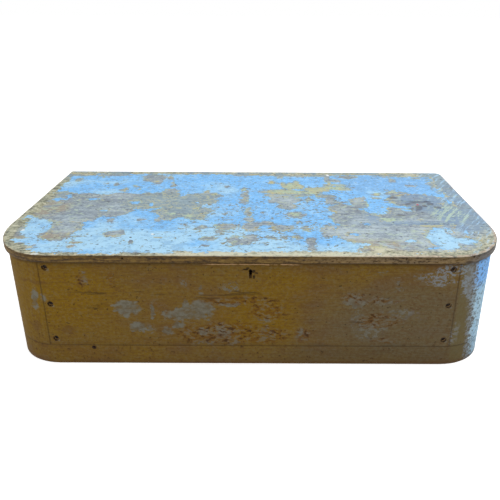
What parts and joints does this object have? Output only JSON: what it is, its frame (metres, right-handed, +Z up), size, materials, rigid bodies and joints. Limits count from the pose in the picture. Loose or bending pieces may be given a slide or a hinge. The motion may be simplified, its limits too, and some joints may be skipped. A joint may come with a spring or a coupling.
{
  "type": "sea chest",
  "caption": "Low wooden chest with rounded front corners, an overhanging hinged lid, a keyhole lock and an open inner till.",
  "frame": {"origin": "on the floor, under the middle of the closed lid", "axes": "+X to the right along the chest, +Y to the back, +Z up"},
  "size_m": [1.22, 0.68, 0.304],
  "materials": {
    "outer_paint": "worn ochre paint on softwood",
    "lid_paint": "chipped sky-blue paint over a yellow-green undercoat and grey wood",
    "bare_wood": "unpainted aged softwood",
    "black_iron": "dark oxidised iron",
    "lock_iron": "dark wrought iron sheet"
  },
  "bodies": {
    "chest": {"base_front_rail": "outer_paint", "base_back_rail": "outer_paint", "base_left_rail": "outer_paint", "base_right_rail": "outer_paint", "front_board": "outer_paint", "back_board": "outer_paint", "left_end_board": "outer_paint", "right_end_board": "outer_paint", "left_corner_post": "outer_paint", "right_corner_post": "outer_paint", "floor_bearer_left": "bare_wood", "floor_bearer_right": "bare_wood", "floor_board_1": "bare_wood", "floor_board_2": "bare_wood", "floor_board_3": "bare_wood", "floor_board_4": "bare_wood", "left_rear_cleat": "bare_wood", "right_rear_cleat": "bare_wood", "till_front": "bare_wood", "till_bottom": "bare_wood", "till_ledger": "bare_wood", "front_screw_left_1": "black_iron", "front_screw_left_2": "black_iron", "front_screw_left_3": "black_iron", "front_screw_right_1": "black_iron", "front_screw_right_2": "black_iron", "front_screw_right_3": "black_iron", "left_hinge_lower_leaf": "black_iron", "left_hinge_pin": "black_iron", "right_hinge_lower_leaf": "black_iron", "right_hinge_pin": "black_iron", "lock_plate": "lock_iron", "lock_case": "lock_iron", "lock_spring": "lock_iron", "lock_key_pin": "lock_iron"},
    "lid": {"lid_board_front": "lid_paint", "lid_board_middle": "lid_paint", "lid_board_back": "lid_paint", "lid_batten_left": "bare_wood", "lid_batten_right": "bare_wood", "left_hinge_upper_leaf": "black_iron", "right_hinge_upper_leaf": "black_iron", "lock_staple": "lock_iron"},
    "bolt": {"lock_bolt": "lock_iron"}
  },
  "joints": [
    {"name": "lid_hinge", "type": "hinge", "parent": "chest", "child": "lid", "pos_m": [0, 0.3202, 0.285], "axis": [-1, 0, 0], "range_deg": [0, 105]},
    {"name": "bolt_throw", "type": "slide", "parent": "chest", "child": "bolt", "axis": [1, 0, 0], "range_m": [0, 0.012]}
  ]
}
